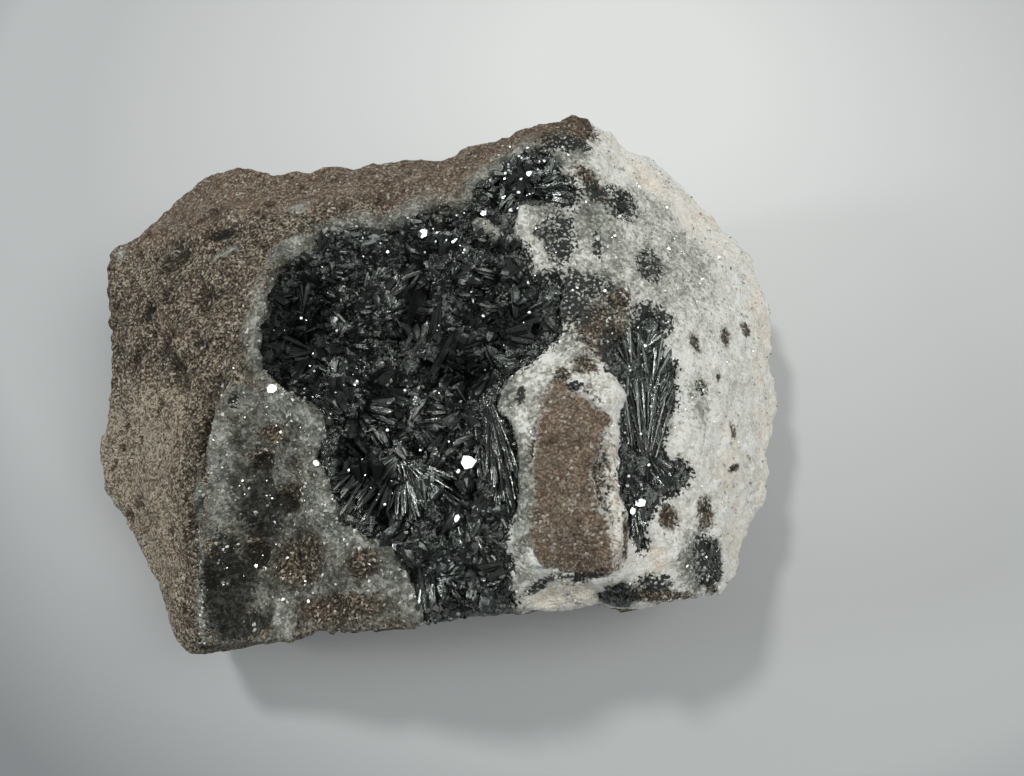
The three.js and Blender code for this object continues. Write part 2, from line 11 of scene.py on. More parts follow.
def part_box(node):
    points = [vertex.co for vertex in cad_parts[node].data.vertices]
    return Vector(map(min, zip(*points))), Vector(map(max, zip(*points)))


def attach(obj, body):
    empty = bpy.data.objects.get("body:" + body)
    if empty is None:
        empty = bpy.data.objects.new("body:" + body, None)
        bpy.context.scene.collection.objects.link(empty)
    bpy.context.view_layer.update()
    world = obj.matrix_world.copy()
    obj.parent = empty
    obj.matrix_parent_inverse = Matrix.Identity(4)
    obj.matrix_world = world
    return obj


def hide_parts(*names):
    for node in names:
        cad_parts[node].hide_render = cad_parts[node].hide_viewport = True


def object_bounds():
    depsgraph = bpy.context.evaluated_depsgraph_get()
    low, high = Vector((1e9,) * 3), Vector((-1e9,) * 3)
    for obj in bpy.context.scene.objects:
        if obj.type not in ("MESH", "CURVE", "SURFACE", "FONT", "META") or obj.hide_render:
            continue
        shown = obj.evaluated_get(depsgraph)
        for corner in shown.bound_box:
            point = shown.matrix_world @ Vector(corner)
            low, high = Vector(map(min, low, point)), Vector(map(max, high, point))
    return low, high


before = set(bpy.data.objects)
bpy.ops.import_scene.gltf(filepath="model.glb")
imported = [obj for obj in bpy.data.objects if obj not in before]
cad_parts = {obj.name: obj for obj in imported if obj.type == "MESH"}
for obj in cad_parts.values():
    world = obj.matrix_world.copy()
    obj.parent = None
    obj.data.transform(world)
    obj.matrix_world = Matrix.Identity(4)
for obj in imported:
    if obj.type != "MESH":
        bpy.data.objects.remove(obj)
cad_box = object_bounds()

# The camera: close above the stone's front edge, looking down steeply and a little to the back,
# with the wide lens of a pocket camera.
scene = bpy.context.scene
lens = bpy.data.cameras.new("view")
lens.lens = 28
lens.sensor_width = 36
lens.clip_start = 0.002
camera = bpy.data.objects.new("view", lens)
camera.location = (0.00765, -0.0335, 0.0906)
camera.rotation_euler = (math.radians(90 - 67), 0, 0)
scene.collection.objects.link(camera)
scene.camera = camera

# The light: a small soft lamp high at the back left, which throws the shadow to the right, a
# second one low at the left, a wide soft panel at the right front and a dim room round them.
scene.view_settings.view_transform = "Standard"
# From the stone towards the lamp that throws the shadow
KEY_FROM = (-0.43, 0.35, 1)


def lamp(name, direction, distance, size, power, colour):
    """A round lamp that shines at the stone from a direction, with its place in metres."""
    light = bpy.data.lights.new(name, "AREA")
    light.shape = "DISK"
    light.size = size
    light.energy = power
    light.color = colour
    holder = bpy.data.objects.new(name, light)
    towards = Vector(direction).normalized()
    holder.location = towards * distance + Vector((0, 0, 0.01))
    holder.rotation_euler = towards.to_track_quat("Z", "Y").to_euler()
    holder.visible_camera = False
    scene.collection.objects.link(holder)


lamp("key_lamp", KEY_FROM, 0.45, 0.06, 0.75, (1.0, 0.985, 0.96))
lamp("side_lamp", (-1.0, -0.1, 0.49), 0.5, 0.09, 0.5, (0.97, 1.0, 1.0))
lamp("front_panel", (0.6, -0.15, 1.0), 0.6, 0.45, 1.92, (1.0, 1.0, 0.97))

room = bpy.data.worlds.new("room")
scene.world = room
room.use_nodes = True
sky = room.node_tree.nodes["Background"]
sky.inputs["Color"].default_value = (0.93, 1.0, 0.98, 1)
sky.inputs["Strength"].default_value = 0.2

# The floor: a large, flat, pale sheet that the stone stands on. Its fade towards the corners is
# painted into its colour and isn't made by the lamps. It is stage, not a part of the specimen.
MM = 0.001


class Finish:
    """A material as it is put together: each call adds one shader node and returns its output."""

    def __init__(self, name):
        self.material = bpy.data.materials.new(name)
        self.material.use_nodes = True
        self.tree = self.material.node_tree
        self.shader = self.tree.nodes["Principled BSDF"]
        place = self.tree.nodes.new("ShaderNodeTexCoord")
        self.place = place.outputs["Object"]

    def node(self, kind, inputs, **settings):
        """A shader node with its settings, and a value or another node's output in each input."""
        made = self.tree.nodes.new(kind)
        for key, value in settings.items():
            setattr(made, key, value)
        for key, value in inputs.items():
            self.plug(made.inputs[key], value)
        return made

    def plug(self, socket, value):
        """Joins a node's output to a socket, or sets the socket to a plain value."""
        if isinstance(value, bpy.types.NodeSocket):
            self.tree.links.new(value, socket)
        elif socket.type == "RGBA" and len(value) == 3:
            socket.default_value = (*value, 1)
        else:
            socket.default_value = value

    def grain(self, size, detail=3.0, roughness=0.6, shift=0.0):
        """Cloudy noise with features of a size in millimetres, around 0.5."""
        apart = {0: self.place, 1: (shift, shift, shift)}
        moved = self.node("ShaderNodeVectorMath", apart, operation="ADD").outputs[0]
        inputs = {"Vector": moved, "Scale": 1 / (size * MM), "Detail": detail, "Roughness": roughness}
        return self.node("ShaderNodeTexNoise", inputs).outputs["Fac"]

    def crumbs(self, size):
        """A random number for each grain of a size in millimetres, and the distance to its middle."""
        made = self.node("ShaderNodeTexVoronoi", {"Vector": self.place, "Scale": 1 / (size * MM)})
        number = self.node("ShaderNodeSeparateColor", {"Color": made.outputs["Color"]})
        return number.outputs[0], made.outputs["Distance"]

    def stored(self, name):
        """A number that the mesh stores for each vertex."""
        return self.node("ShaderNodeAttribute", {}, attribute_name=name).outputs["Fac"]

    def sum(self, *terms):
        """The sum of some terms, each a plain number or a pair to be multiplied."""
        total = 0.0
        for term in terms:
            value, factor = term if isinstance(term, tuple) else (1.0, term)
            inputs = {0: value, 1: factor, 2: total}
            total = self.node("ShaderNodeMath", inputs, operation="MULTIPLY_ADD").outputs[0]
        return total

    def product(self, a, b):
        """One number times another."""
        return self.node("ShaderNodeMath", {0: a, 1: b}, operation="MULTIPLY").outputs[0]

    def edge(self, value, low, high, top=1.0):
        """0 below low, top above high, and smooth between."""
        inputs = {"Value": value, "From Min": low, "From Max": high, "To Max": top}
        return self.node("ShaderNodeMapRange", inputs, interpolation_type="SMOOTHSTEP").outputs[0]

    def blend(self, share, under, over):
        """under where share is 0, over where it is 1."""
        made = self.node("ShaderNodeMix", {0: share}, data_type="RGBA")
        self.plug(made.inputs[6], under)
        self.plug(made.inputs[7], over)
        return made.outputs[2]

    def tones(self, value, stops):
        """A colour for each level of a value: stops of (level, colour)."""
        made = self.node("ShaderNodeValToRGB", {"Fac": value})
        ramp = made.color_ramp
        while len(ramp.elements) < len(stops):
            ramp.elements.new(0.5)
        for element, (level, colour) in zip(ramp.elements, stops):
            element.position = level
            element.color = (*colour, 1)
        return made.outputs["Color"]

    def relief(self, height, distance):
        """Fine relief of a height in millimetres, finer than the mesh."""
        inputs = {"Height": height, "Distance": distance * MM, "Strength": 1.0}
        made = self.node("ShaderNodeBump", inputs)
        self.tree.links.new(made.outputs["Normal"], self.shader.inputs["Normal"])

    def set(self, **values):
        """Fills the shader's own sockets and returns the finished material."""
        for key, value in values.items():
            self.plug(self.shader.inputs[key.replace("_", " ")], value)
        return self.material


reach = 1.2
floor_mesh = bpy.data.meshes.new("floor")
floor_mesh.from_pydata(
    [(-reach, -reach, 0), (reach, -reach, 0), (reach, reach, 0), (-reach, reach, 0)], [], [(0, 1, 2, 3)]
)
floor = bpy.data.objects.new("floor", floor_mesh)
scene.collection.objects.link(floor)
paper = Finish("floor")
# It is lightest here and fades with the distance, in metres
LIGHTEST = (0.026, 0.056, 0)
away = paper.node("ShaderNodeVectorMath", {0: paper.place, 1: LIGHTEST}, operation="DISTANCE")
span = {"Value": away.outputs["Value"], "From Min": 0.115, "From Max": 0.015}
fade = paper.node("ShaderNodeMapRange", span).outputs[0]
paper_tones = [
    (0.0, (0.225, 0.237, 0.25)), (0.2, (0.465, 0.48, 0.49)), (0.34, (0.475, 0.49, 0.5)),
    (1.0, (0.745, 0.757, 0.757)),
]
paper_tone = paper.tones(fade, paper_tones)
floor_mesh.materials.append(paper.set(Base_Color=paper_tone, Roughness=0.9))

# The brown host rock: a fine-grained volcanic rock, broken to a lumpy, gritty plateau with a sharp
# ridge at the left front. Quartz has soaked its edge round the hollow, and a thin grey coat with
# brown windows covers the valley in front.
# Lengths from here on are in millimetres and turns in degrees. The spacing of the skin's points:
SKIN_STEP = 0.36
# How far every stone's skin grows into the gaps between the solids, and what a seam adds to it
GROWTH = 0.2
SEAM_GROWTH = 0.35
# Zones of colour on the rock and the vein, as ellipses seen from above, each x, y, half width,
# half length and turn
ZONES = {
    "coat": [
        (-15.5, -12.5, 4.2, 6.5, 0), (-12.5, -19.5, 7.0, 6.5, 0), (-6.5, -21.5, 6.0, 4.8, 0),
        (-12.5, -9.0, 4.2, 2.5, 0), (-18.2, -23.5, 2.2, 4.0, 0),
    ],
    "clear": [
        (10.8, 9.7, 4.3, 4.6, 0), (22.4, 13.0, 4.1, 7.3, 0), (26.0, 9.8, 3.1, 4.8, 0),
        (7.1, -15.8, 1.2, 10.5, 0), (10.1, -7.1, 2.6, 3.8, 0), (25.4, -5.1, 1.1, 3.1, 0),
        (8.3, -22.7, 1.7, 1.7, 0), (23.5, -19.5, 1.8, 2.2, 0), (20, 7, 6, 6, 0),
        (11.0, 3.0, 3.0, 4.0, 0), (13.5, -1.5, 3.0, 2.6, 0), (8.6, -14.0, 1.3, 6.0, 8),
    ],
    "cream": [
        (21.8, 22.7, 5.0, 2.7, -35), (28.7, 18.1, 4.5, 3.3, -45), (35.1, 6.9, 1.8, 7.5, 0),
        (34.6, -6.5, 1.9, 10.1, 0), (30.1, -17.5, 2.2, 4.9, 0), (28.9, -10.5, 1.7, 5.0, 0),
        (12.5, -23.6, 5.2, 1.4, 0), (19.0, -20.4, 2.1, 1.3, 0), (16.4, -15.0, 0.8, 6.0, 0),
        (18.2, 3.6, 1.0, 1.0, 0),
    ],
    "pale": [
        (-15.7, 0.5, 1.1, 4.7, 0), (-12.7, -6.5, 4.0, 1.9, 0), (-9.8, -9.8, 1.2, 3.0, 0),
        (-6.4, -16.7, 2.6, 1.9, -30), (-2.3, -21.7, 1.9, 2.9, -30), (0, -24.6, 1.5, 0.8, 0),
        (-18.9, -12.3, 0.9, 6.6, 0), (-12.7, -24.3, 1.3, 2.1, 0), (-35.3, 14.1, 0.6, 0.9, 0),
        (-14.0, 14.5, 1.2, 0.5, -25), (-21.2, 10.5, 1.4, 0.5, 20), (-17.2, -6.1, 2.0, 1.4, 0),
        (-14.0, 9.5, 2.6, 1.0, 35), (13.5, 20.5, 2.0, 2.6, 0), (15.6, 3.4, 3.6, 4.0, 0),
        (16.0, 13.4, 2.6, 4.4, 0), (21.4, 8.6, 2.0, 2.4, 0), (24.6, -20.4, 2.2, 2.4, 0),
        (7.9, -12.5, 0.7, 7.0, 6), (10.4, 1.2, 1.6, 3.2, 30), (6.6, -5.8, 1.5, 2.2, 0),
        (8.5, -16.2, 0.9, 4.4, 0), (10.9, 13.2, 2.0, 0.9, 0), (-20.5, -21.8, 0.5, 4.2, -3),
        (-20.9, -15.0, 0.5, 2.4, 0), (-9.0, -16.0, 1.4, 4.0, 25),
    ],
    "brown": [
        (-15.1, -10.8, 1.2, 1.0, 0), (-12.6, -14.4, 1.5, 1.2, 0), (-15.8, -18.5, 1.3, 2.0, 0),
        (-11.7, -19.7, 2.7, 2.4, 0), (-5.2, -20.6, 1.6, 1.2, 0), (-7.1, -24.1, 4.3, 1.3, 0),
        (-14.1, -9.0, 1.3, 1.0, 0), (14.3, 24.8, 2.7, 1.5, 0), (15.7, 16.9, 2.6, 1.0, -45),
        (16.2, 0.1, 3.1, 3.1, 0), (17.6, 3.4, 1.4, 1.3, 0), (14.1, -3.7, 1.3, 1.1, 0),
        (12.1, -4.8, 0.9, 0.9, 0), (21.4, -16.7, 1.0, 1.3, 0), (25.2, -15.7, 0.9, 1.6, 0),
        (25.4, 0.8, 0.7, 0.9, 0), (29.5, 3.2, 0.6, 1.0, 0), (32.4, 5.3, 0.7, 0.8, 0),
        (29.2, -10.5, 0.9, 0.3, 30), (29.2, -7.1, 0.5, 0.8, 0), (27.9, -2.0, 0.3, 0.4, 0),
        (25.8, -21.7, 0.9, 0.6, 0), (17.2, -18.7, 0.3, 1.9, 0), (12.6, -13.5, 3.4, 7.6, 0),
        (20.0, -22.9, 4.5, 0.6, 0),
    ],
    # The dark zone covers the valley at the left front and paints shade there
    "dark": [
        (-18.2, -21.7, 2.3, 3.8, 0), (-15.2, -15.0, 1.8, 2.8, 0), (-16.9, -25.0, 2.8, 1.2, 0),
    ],
    "black": [
        (-22.2, 13.0, 1.3, 0.4, 0), (-29.4, 5.3, 0.5, 0.9, 0), (-32.0, -7.8, 0.3, 0.2, 0),
        (-18, -6, 0.5, 0.5, 0), (18.7, 15.5, 1.7, 2.0, 0), (12.3, 10.3, 1.5, 2.9, 0),
        (10.4, 10.6, 0.7, 0.8, 0), (15.9, 9.5, 0.4, 1.6, 0), (21.3, 8.3, 1.3, 2.1, 0),
        (15.2, 4.9, 1.9, 1.2, 0), (13.5, 3.2, 1.9, 3.0, 0), (21.0, 2.0, 1.9, 1.7, 0),
        (16.0, 16.0, 0.9, 1.0, 0), (13.0, 22.0, 2.5, 1.4, 0), (10.5, 20.2, 1.2, 1.0, 0),
        (13.2, -5.8, 0.7, 0.5, 0), (8.4, -6.7, 0.4, 0.8, 0), (9.8, -22.5, 1.4, 0.3, 25),
        (13.4, -21.8, 1.9, 0.3, 0), (25.2, -19.6, 1.3, 2.0, 0), (16.8, -2.1, 1.1, 2.4, 0),
        (20.1, -22.0, 1.6, 0.6, 0), (25.7, -3.8, 0.6, 0.8, 0),
    ],
}


def noise(points, size, seed=0):
    """Smooth noise from about -1 to 1 over points, with features as large as size."""
    place = points / size + 37.7 * seed
    cell = np.floor(place).astype(np.int64)
    part = place - cell
    fade = part**3 * (part * (part * 6 - 15) + 10)
    total = np.zeros(len(points))
    for corner in itertools.product((0, 1), repeat=3):
        at = cell + corner
        code = at[:, 0] * 73856093 ^ at[:, 1] * 19349663 ^ at[:, 2] * 83492791
        code = (code ^ (code >> 13)) * 1274126177
        code = code ^ (code >> 16)
        slope = np.stack([(code >> shift & 255) / 127.5 - 1 for shift in (0, 8, 16)], 1)
        weight = np.prod(np.where(corner, fade, 1 - fade), axis=1)
        total += weight * np.sum(slope * (part - corner), axis=1)
    return 1.5 * total


def points_of(mesh):
    """The mesh's vertices in millimetres."""
    flat = np.empty(3 * len(mesh.vertices))
    mesh.vertices.foreach_get("co", flat)
    return flat.reshape(-1, 3) / MM


def place_points(mesh, points):
    """Moves the mesh's vertices to places in millimetres."""
    mesh.vertices.foreach_set("co", (points * MM).ravel())
    mesh.update()


def normals_of(mesh):
    """The way out of the surface at each vertex."""
    flat = np.empty(3 * len(mesh.vertices))
    mesh.vertex_normals.foreach_get("vector", flat)
    return flat.reshape(-1, 3)


def soften(mesh, rounds):
    """Evens the surface: in each round a vertex moves half way to the mean of its neighbours."""
    points = points_of(mesh)
    ends = np.empty(2 * len(mesh.edges), np.int64)
    mesh.edges.foreach_get("vertices", ends)
    a, b = ends.reshape(-1, 2).T
    count = len(points)
    near = np.bincount(a, minlength=count) + np.bincount(b, minlength=count)
    for _ in range(rounds):
        total = [
            np.bincount(a, points[b, k], count) + np.bincount(b, points[a, k], count) for k in range(3)
        ]
        points = 0.5 * points + 0.5 * np.stack(total, 1) / near[:, None]
    place_points(mesh, points)


def fine_copy(node, name, step, rounds):
    """A fine, even mesh in the form of a CAD node, with its flat facets softened."""
    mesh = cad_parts[node].data.copy()
    mesh.materials.clear()
    shell = bmesh.new()
    shell.from_mesh(mesh)
    bmesh.ops.remove_doubles(shell, verts=shell.verts, dist=1e-6)
    shell.to_mesh(mesh)
    shell.free()
    piece = bpy.data.objects.new(name, mesh)
    scene.collection.objects.link(piece)
    remesh = piece.modifiers.new("remesh", "REMESH")
    remesh.mode = "VOXEL"
    remesh.voxel_size = step * MM
    graph = bpy.context.evaluated_depsgraph_get()
    fine = bpy.data.meshes.new_from_object(piece.evaluated_get(graph))
    piece.modifiers.clear()
    piece.data = fine
    fine.name = name
    soften(fine, rounds)
    return piece


LOW, HIGH = (np.array(corner) / MM for corner in cad_box)


def held(points):
    """Points kept within the stone's outer box, so that none goes below its flat underside."""
    return np.clip(points, LOW, HIGH)


def patches(points, ellipses):
    """How deep each point lies in some ellipses seen from above: 0 well outside, 1 in the middle."""
    deepest = np.zeros(len(points))
    for x, y, across, along, turn in ellipses:
        c, s = math.cos(math.radians(turn)), math.sin(math.radians(turn))
        dx, dy = points[:, 0] - x, points[:, 1] - y
        reach_out = np.hypot((c * dx + s * dy) / across, (c * dy - s * dx) / along)
        deepest = np.maximum(deepest, np.clip(1.5 - reach_out, 0, 1))
    return deepest


def tree_of(mesh):
    """The mesh's faces, sorted for finding near points and for rays."""
    return BVHTree.FromPolygons([v.co for v in mesh.vertices], [p.vertices for p in mesh.polygons])


def gap_to(node, points, far=6.0):
    """The distance in millimetres from each point to a CAD node, up to far."""
    tree = tree_of(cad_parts[node].data)
    found = (tree.find_nearest(Vector(p * MM), far * MM)[3] for p in points)
    return np.array([far if d is None else d / MM for d in found])


def mark(mesh, name, values):
    """Stores one number for each vertex, for the material to read."""
    layer = mesh.attributes.new(name, "FLOAT", "POINT")
    layer.data.foreach_set("value", values.astype(np.float32))


# Clefts and hollows in the rock, as ellipses with a depth: x, y, half width, half length, turn, depth
# The brown rock's colour is darkened in these clefts too: painted shade.
CLEFTS = [
    (-21.3, -16.3, 0.7, 1.8, -25, 1.1), (-20.4, -9.0, 0.5, 2.6, -6, 0.9),
    (-22.1, 12.8, 1.5, 0.5, 0, 0.9), (-29.5, 5.8, 0.6, 1.2, 0, 0.9), (-32.0, -7.6, 0.35, 0.35, 0, 0.7),
    (-27.0, 10.9, 1.6, 1.0, 35, 0.6), (-22.8, 5.4, 0.8, 1.6, 30, 0.5), (-17.8, -10.8, 0.9, 1.2, 0, 0.6),
    (-15.2, -11.6, 1.2, 0.8, 30, 0.6), (-13.1, -14.9, 1.3, 0.8, -30, 0.6),
    (-18.6, -21.8, 1.4, 3.0, 0, 0.6), (-26.8, 1.4, 0.9, 1.4, -40, 0.5),
    (-31.0, -14.3, 0.9, 0.5, 20, 0.5), (-18.0, -6.3, 1.0, 0.8, 0, 0.7), (-24.5, -2.0, 0.7, 2.0, 20, 0.5),
    (-30.5, 1.0, 0.6, 1.5, -20, 0.4), (-24.0, 15.5, 1.8, 0.6, 10, 0.4), (-15.8, -19.0, 1.2, 1.0, 0, 0.5),
]


def broken_surface(mesh, lumps, pits, seed, seams=(), clefts=()):
    """Roughens a mesh as fractured rock is, with lumps, ragged pits and clefts, and fills its seams.

    lumps are pairs of size and height, pits are one size and depth, and seams are the nodes it
    touches. Returns how deep each vertex lies in a pit or a cleft, from 0 to 1.
    """
    points = points_of(mesh)
    out = normals_of(mesh)
    rise = GROWTH + np.zeros(len(points))
    for size, height in lumps:
        rise += height * noise(points, size, seed)
        seed += 1
    size, depth = pits
    pit = noise(points, size, seed) + 0.5 * noise(points, 0.4 * size, seed + 1) - 0.42
    pit = np.clip(pit / 0.3, 0, 1)
    rise -= depth * pit
    ragged = 0.3 * noise(points, 0.8, seed) - 0.5
    for *ellipse, drop in clefts:
        near = np.clip(2 * patches(points, [ellipse]) + ragged, 0, 1) * (out[:, 2] > 0.2)
        rise -= drop * near
        pit = np.maximum(pit, near)
    for node in seams:
        rise += SEAM_GROWTH * np.clip(1.3 - gap_to(node, points) / 0.6, 0, 1)
    place_points(mesh, held(points + out * rise[:, None]))
    # The brown rock's colour reads this depth and is darkened in pits and clefts: painted shade.
    return pit


def brown_ground(stone, shift=0.0):
    """The brown rock's colour: each grain has its own tone, under slow swings from olive to red.

    The stored light and red marks lift the tone, calm its contrast and warm it.
    """
    number, _ = stone.crumbs(0.18)
    fine, slow = stone.grain(0.34, 4, 0.8), stone.grain(2.6, 3, 0.6, 4.2)
    level = stone.sum((number, 0.6), (fine, 0.95), (slow, 0.35), -0.465)
    # The pit mark darkens pits and clefts: painted shade. The light mark lifts the tone, at the host's left
    # front as painted light.
    level = stone.sum((level, 1.0), (stone.stored("light"), 0.12), (stone.stored("pit"), -0.25), shift)
    calm = stone.sum((stone.stored("red"), 0.9), (stone.stored("light"), 0.35))
    calm = stone.product(calm, stone.sum((level, -0.4), 0.205))
    level = stone.sum((level, 1.0), (calm, 1.0))
    olive = [
        (0.2, (0.012, 0.009, 0.005)), (0.4, (0.06, 0.046, 0.029)), (0.58, (0.16, 0.127, 0.087)),
        (0.8, (0.5, 0.43, 0.33)),
    ]
    red = [
        (0.2, (0.022, 0.012, 0.008)), (0.4, (0.09, 0.056, 0.038)), (0.58, (0.185, 0.125, 0.088)),
        (0.8, (0.55, 0.44, 0.34)),
    ]
    warm = stone.edge(stone.grain(3.4, 3, 0.6, 3.1), 0.42, 0.7, 0.55)
    share = stone.sum((warm, 1.0), (stone.stored("red"), 0.45))
    ground = stone.blend(share, stone.tones(level, olive), stone.tones(level, red))
    # Pale flecks: partly the rock's light grains, partly painted glints
    glint, _ = stone.crumbs(0.24)
    return stone.blend(stone.edge(glint, 0.96, 0.98, 0.8), ground, (0.62, 0.6, 0.54))


def quartz(stone, dark, mid, light, coarse=0.3):
    """Sugary quartz: small pale crystals with clear grey gaps."""
    number, _ = stone.crumbs(0.3)
    cloud = stone.sum((number, coarse), (stone.grain(0.45, 3, 0.75, 1.3), 0.55), -0.5 * coarse - 0.15)
    cloud = stone.sum((cloud, 1.0), (stone.grain(2.2, 4, 0.6, 5.2), 0.75))
    return stone.tones(cloud, [(0.34, dark), (0.5, mid), (0.66, light)])


# Each zone's soft edge, then its quartz in dark, middle and light tones with its coarseness, in the
# order they lie over each other. The brown zone is bare rock, and the dark zone is painted shade.
LAYERS = {
    "coat": (0.2, (0.03, 0.031, 0.024), (0.11, 0.112, 0.092), (0.36, 0.36, 0.32), 0.15),
    "clear": (0.3, (0.32, 0.32, 0.285), (0.6, 0.6, 0.55), (0.88, 0.88, 0.83), 0.3),
    # The cream is lighter than the white quartz: partly a stain, partly painted light
    "cream": (0.3, (0.85, 0.75, 0.64), (0.95, 0.89, 0.8), (0.98, 0.96, 0.91), 0.3),
    "pale": (0.45, (0.1, 0.105, 0.09), (0.26, 0.27, 0.235), (0.58, 0.59, 0.54), 0.2),
    "brown": (0.3,),
    # Nearly black: painted shade in the valley at the left front
    "dark": (0.14, (0.008, 0.009, 0.006), (0.022, 0.023, 0.018), (0.08, 0.08, 0.068), 0.3),
}


def stone_finish(name, ground, rough, depth=0.0):
    """A stone whose ground shows through zones of the other minerals, with speckled edges.

    depth is how much light goes into the stone.
    """
    stone = Finish(name)
    number, middle = stone.crumbs(0.24)
    ragged = stone.sum((stone.grain(1.4, 5, 0.8, 2.1), 1.6), (number, 0.5), -1.05)
    colour = ground(stone)
    for zone, (soft, *tones) in LAYERS.items():
        share = stone.edge(stone.sum((stone.stored(zone), 1.0), (ragged, 0.9)), 0.5 - soft, 0.5 + soft)
        colour = stone.blend(share, colour, quartz(stone, *tones) if tones else brown_ground(stone, -0.1))
    mottle = stone.sum((ragged, 0.8), (number, 1.1), -0.55)
    gate = stone.edge(stone.stored("black"), 0.05, 0.5)
    black = stone.sum((stone.stored("black"), 1.0), (stone.product(gate, mottle), 1.0))
    speckle = stone.edge(black, 0.45, 0.57)
    colour = stone.blend(speckle, colour, (0.026, 0.029, 0.027))
    stone.relief(stone.sum((stone.grain(0.3, 4, 0.8, 6.1), 1.0), (middle, -0.6)), 0.2 if depth else 0.34)
    stone.set(Subsurface_Weight=depth, Subsurface_Radius=(1.0, 0.9, 0.8), Subsurface_Scale=1.6 * MM)
    return stone.set(Base_Color=colour, Roughness=rough, Specular_IOR_Level=0.45)


def facing_up(mesh):
    """1 where the surface faces up, 0 where it faces down, and between on the sides."""
    return np.clip(2 * normals_of(mesh)[:, 2] + 0.4, 0, 1)


def mark_zones(piece, pit, without=(), **extra):
    """Marks every zone on a piece, where it faces up; extra adds zones of the piece's own."""
    points = points_of(piece.data)
    seen = facing_up(piece.data)
    for zone, ellipses in ZONES.items():
        depth = 0 * seen if zone in without else patches(points, ellipses) * seen
        mark(piece.data, zone, np.maximum(depth, extra.get(zone, 0)))
    for zone in ("light", "red"):
        mark(piece.data, zone, extra.get(zone, 0) * np.ones(len(points)))
    mark(piece.data, "pit", pit)


def under(node, points):
    """1 for each point that lies below a CAD node, 0 elsewhere."""
    tree = tree_of(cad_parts[node].data)
    hits = (tree.ray_cast(Vector(p * MM), Vector((0, 0, 1)))[0] for p in points)
    return np.array([hit is not None for hit in hits], float)


brown_rock = stone_finish("brown_rock", brown_ground, 0.88)
host = fine_copy("host_rock", "brown_rock", SKIN_STEP, 2)
host_lumps = [(4.5, 0.4), (2.0, 0.3), (1.0, 0.15), (0.6, 0.12)]
host_pit_and_painted_shade = broken_surface(host.data, host_lumps, (1.5, 0.3), 1, ["pale_vein"], CLEFTS)
host_points = points_of(host.data)
host_open = 1 - under("pyrolusite_crust", host_points)
crust_gap = gap_to("pyrolusite_crust", host_points)
soaked = np.clip(1.2 - crust_gap / 2.0, 0, 1) * (host_points[:, 2] > 14) * facing_up(host.data)
# The light mark makes the left front facet lighter: painted light, on top of what the side lamp gives.
# Along the back the rock is made lighter and redder.
left = np.clip((-22 - host_points[:, 0]) / 3, 0, 1) * np.clip((-1 - host_points[:, 1]) / 3, 0, 1)
back = np.clip((host_points[:, 1] - 12.5) / 3, 0, 1)
painted_light_and_tint = {"light": 2.1 * left + 0.9 * back, "red": 0.9 * back}
mark_zones(host, host_pit_and_painted_shade, pale=soaked * host_open, black=1.5 * (1 - host_open), **painted_light_and_tint)
host.data.materials.append(brown_rock)
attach(host, "root")
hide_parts("host_rock")

# The pale vein: white and clear quartz with calcite, grown over the right end of the rock and
# round the black crystals, stained cream on the outside. The cream is lighter than the white
# quartz, which is painted light on the sides that turn away from the lamps.
def white_ground(stone):
    """The vein's white quartz and calcite."""
    return quartz(stone, (0.68, 0.67, 0.61), (0.89, 0.88, 0.82), (0.97, 0.96, 0.93))


vein = fine_copy("pale_vein", "pale_spar", SKIN_STEP, 2)
vein_seams = ["host_rock", "rock_fragment", "pyrolusite_band", "pyrolusite_corner_tuft"]
vein_lumps = [(3.4, 0.35), (1.6, 0.24), (0.9, 0.15), (0.55, 0.1)]
vein_pit_and_painted_shade = broken_surface(vein.data, vein_lumps, (1.3, 0.2), 11, vein_seams)
vein_points = points_of(vein.data)
vein_covered = np.maximum(under("pyrolusite_crust", vein_points), under("pyrolusite_band", vein_points))
by_band = np.clip(0.8 - gap_to("pyrolusite_band", vein_points) / 1.2, 0, 1)
by_crust = np.clip(0.95 - gap_to("pyrolusite_crust", vein_points) / 1.3, 0, 1)
by_crystals = np.maximum(by_band, by_crust)
# Cream on the sides: a stain, made lighter than the white quartz as painted light
stain_and_painted_light = 0.75 * (1 - facing_up(vein.data))
grey = np.clip(1.2 * patches(vein_points, ZONES["black"]), 0, 0.9)
mark_zones(vein, vein_pit_and_painted_shade, cream=stain_and_painted_light, pale=grey, black=np.maximum(1.5 * vein_covered, by_crystals))
vein.data.materials.append(stone_finish("pale_spar", white_ground, 0.5, 0.6))
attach(vein, "root")
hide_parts("pale_vein")

# The fragment: a piece of the same brown rock that broke off before the vein grew round it. It
# stands a little proud of the vein, with a veil of clear quartz along its edges.
fragment = fine_copy("rock_fragment", "brown_fragment", 0.8 * SKIN_STEP, 1)
fragment_lumps = [(2.4, 0.2), (1.0, 0.16), (0.6, 0.12)]
fragment_pit_and_painted_shade = broken_surface(fragment.data, fragment_lumps, (1.2, 0.25), 21, ["pale_vein"])
veil = np.clip(0.85 - gap_to("pale_vein", points_of(fragment.data)) / 0.9, 0, 1)
mark_zones(fragment, fragment_pit_and_painted_shade, without=("brown", "clear"), clear=veil, light=1.6, red=1.0)
fragment.data.materials.append(brown_rock)
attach(fragment, "root")
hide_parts("rock_fragment")

# The crust of the hollow: pyrolusite, grown outwards from the rock as grooved blades. A dark bed
# of tiny facets carries sprays of long blades, with deep gaps between them.
BED_STEP = 0.3
# Deep gaps in the crust: x, y, half width, half length and depth
VOIDS = [
    (-1.9, 5.0, 1.3, 3.6, 2.6), (3.6, 3.6, 1.0, 1.2, 2.0), (2.0, -3.6, 1.4, 1.1, 2.0),
    (-6.3, -12.4, 1.0, 1.6, 2.0), (4.2, -3.8, 1.0, 1.2, 1.6), (-2.7, -12.9, 0.8, 0.8, 1.5),
    (2.4, -15.8, 0.9, 1.1, 1.8), (-10.4, 2.6, 1.6, 1.0, 1.2), (-4.4, -2.6, 1.1, 1.6, 1.4),
    (8.2, 5.2, 0.9, 1.3, 1.4),
]
